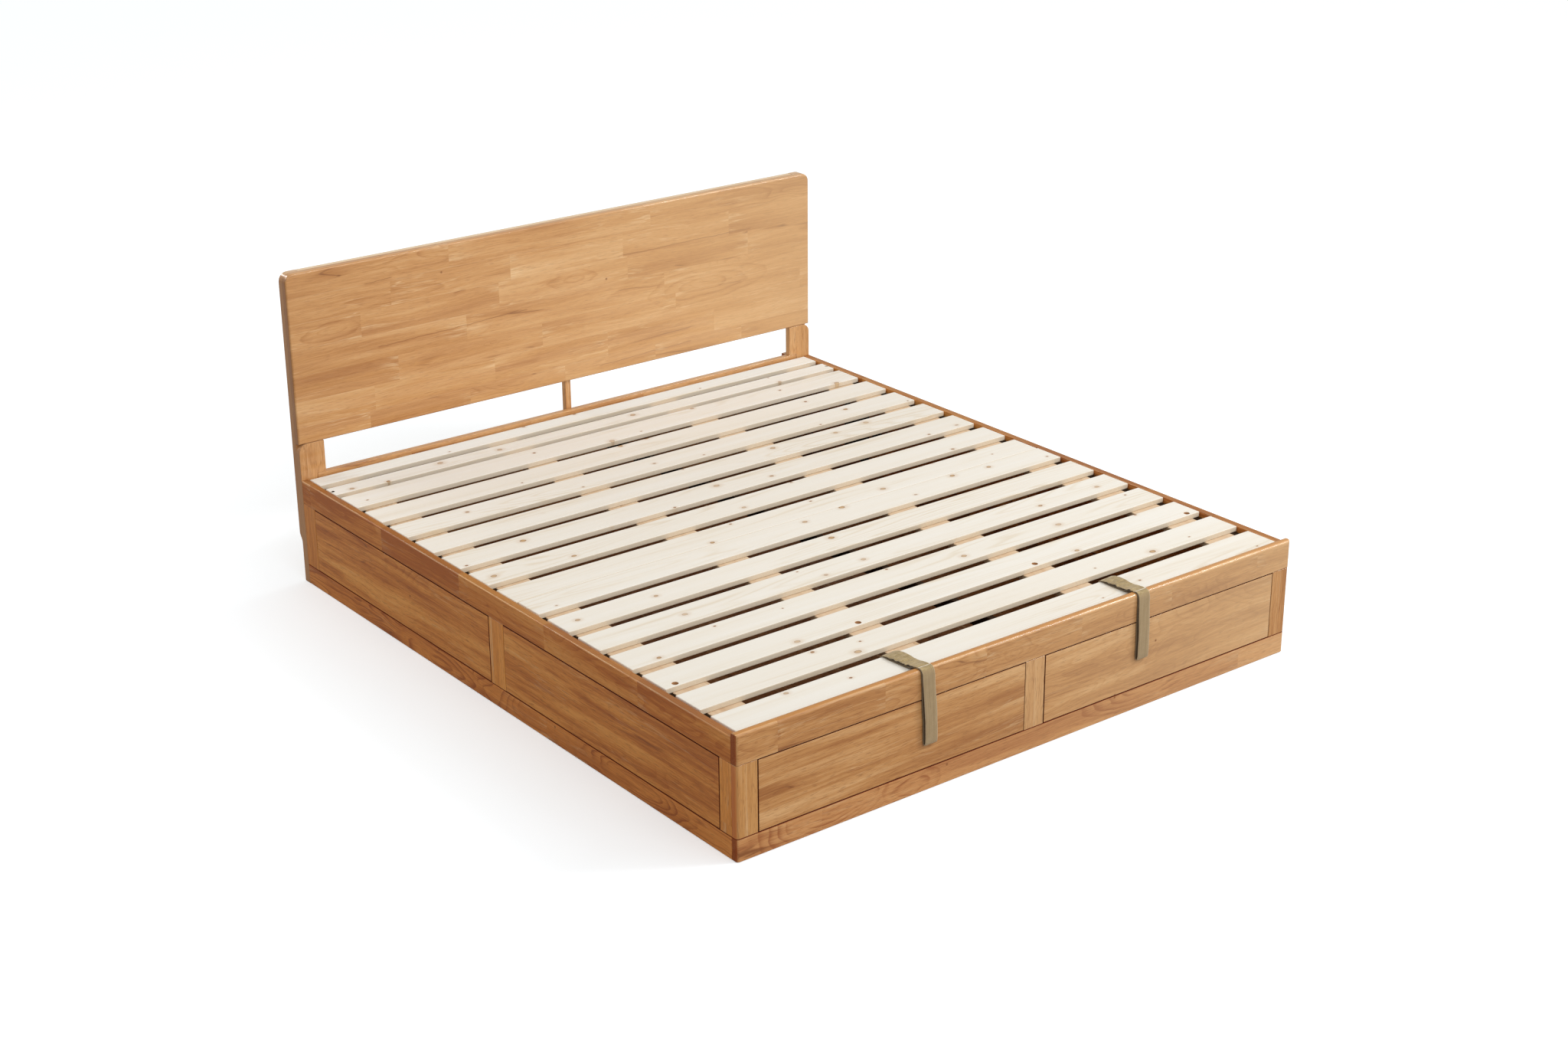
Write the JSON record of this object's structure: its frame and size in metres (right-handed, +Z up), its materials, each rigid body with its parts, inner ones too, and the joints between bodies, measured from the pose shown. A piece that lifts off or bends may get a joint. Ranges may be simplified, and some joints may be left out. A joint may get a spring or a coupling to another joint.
{
  "type": "storage bed frame",
  "caption": "Wooden storage bed frame: headboard on legs, panelled box, and a slatted platform that hinges up at the head on gas struts, lifted by webbing pull straps.",
  "frame": {"origin": "on the floor under the middle of the bed's bounding box, pull straps included", "axes": "+Z up, +Y from the foot towards the headboard, +X to the right seen from the foot"},
  "size_m": [1.86, 2.1352, 0.931],
  "materials": {
    "honey_wood": "satin lacquered staves",
    "foot_wood": "satin lacquered staves",
    "pale_pine": "planed, unfinished",
    "bearer_wood": "planed, unfinished",
    "floor_board": "plain board",
    "black_steel": "black powder coat",
    "bright_steel": "polished rod",
    "khaki_webbing": "woven webbing"
  },
  "bodies": {
    "bed_box": {"headboard_panel": "honey_wood", "left_leg": "honey_wood", "right_leg": "honey_wood", "headboard_top_rail": "honey_wood", "headboard_centre_stile": "honey_wood", "head_rail": "honey_wood", "left_side_top_rail": "honey_wood", "left_side_bottom_rail": "honey_wood", "left_side_foot_stile": "honey_wood", "left_side_middle_stile": "honey_wood", "left_side_head_stile": "honey_wood", "left_side_foot_panel": "honey_wood", "left_side_head_panel": "honey_wood", "right_side_top_rail": "honey_wood", "right_side_bottom_rail": "honey_wood", "right_side_foot_stile": "honey_wood", "right_side_middle_stile": "honey_wood", "right_side_head_stile": "honey_wood", "right_side_foot_panel": "honey_wood", "right_side_head_panel": "honey_wood", "foot_top_rail": "foot_wood", "foot_bottom_rail": "foot_wood", "foot_left_stile": "foot_wood", "foot_middle_stile": "foot_wood", "foot_right_stile": "foot_wood", "foot_left_panel": "foot_wood", "foot_right_panel": "foot_wood", "left_hinge_bracket": "black_steel", "right_hinge_bracket": "black_steel", "foot_ledge": "floor_board", "storage_floor": "floor_board"},
    "platform": {"slat_01": "pale_pine", "slat_02": "pale_pine", "slat_03": "pale_pine", "slat_04": "pale_pine", "slat_05": "pale_pine", "slat_06": "pale_pine", "slat_07": "pale_pine", "slat_08": "pale_pine", "slat_09": "pale_pine", "slat_10": "pale_pine", "slat_11": "pale_pine", "slat_12": "pale_pine", "slat_13": "pale_pine", "slat_14": "pale_pine", "slat_15": "pale_pine", "slat_16": "pale_pine", "left_outer_bearer": "bearer_wood", "left_inner_bearer": "bearer_wood", "right_inner_bearer": "bearer_wood", "right_outer_bearer": "bearer_wood", "left_lift_tube": "black_steel", "right_lift_tube": "black_steel", "centre_lift_tube": "black_steel", "left_pull_strap": "khaki_webbing", "right_pull_strap": "khaki_webbing"},
    "left_cylinder": {"left_strut_cylinder": "black_steel"},
    "left_rod": {"left_strut_rod": "bright_steel"},
    "right_cylinder": {"right_strut_cylinder": "black_steel"},
    "right_rod": {"right_strut_rod": "bright_steel"}
  },
  "joints": [
    {"name": "platform_lift", "type": "hinge", "parent": "bed_box", "child": "platform", "pos_m": [0, 0.7906, 0.2777], "axis": [-1, 0, 0], "range_deg": [0, 40]},
    {"name": "left_strut_swing", "type": "hinge", "parent": "bed_box", "child": "left_cylinder", "pos_m": [-0.894, 0.7106, 0.0577], "axis": [-1, 0, 0], "range_deg": [0, 18.8]},
    {"name": "left_strut_slide", "type": "slide", "parent": "left_cylinder", "child": "left_rod", "axis": [0, -0.6139, 0.7894], "range_m": [0, 0.122]},
    {"name": "right_strut_swing", "type": "hinge", "parent": "bed_box", "child": "right_cylinder", "pos_m": [0.894, 0.7106, 0.0577], "axis": [-1, 0, 0], "range_deg": [0, 18.8]},
    {"name": "right_strut_slide", "type": "slide", "parent": "right_cylinder", "child": "right_rod", "axis": [0, -0.6139, 0.7894], "range_m": [0, 0.122]}
  ],
  "couplings": [
    {"joint": "left_strut_swing", "follows": "platform_lift", "ratio": 0.46893},
    {"joint": "left_strut_slide", "follows": "platform_lift", "m_per_rad": 0.17457},
    {"joint": "right_strut_swing", "follows": "platform_lift", "ratio": 0.46893},
    {"joint": "right_strut_slide", "follows": "platform_lift", "m_per_rad": 0.17457}
  ]
}
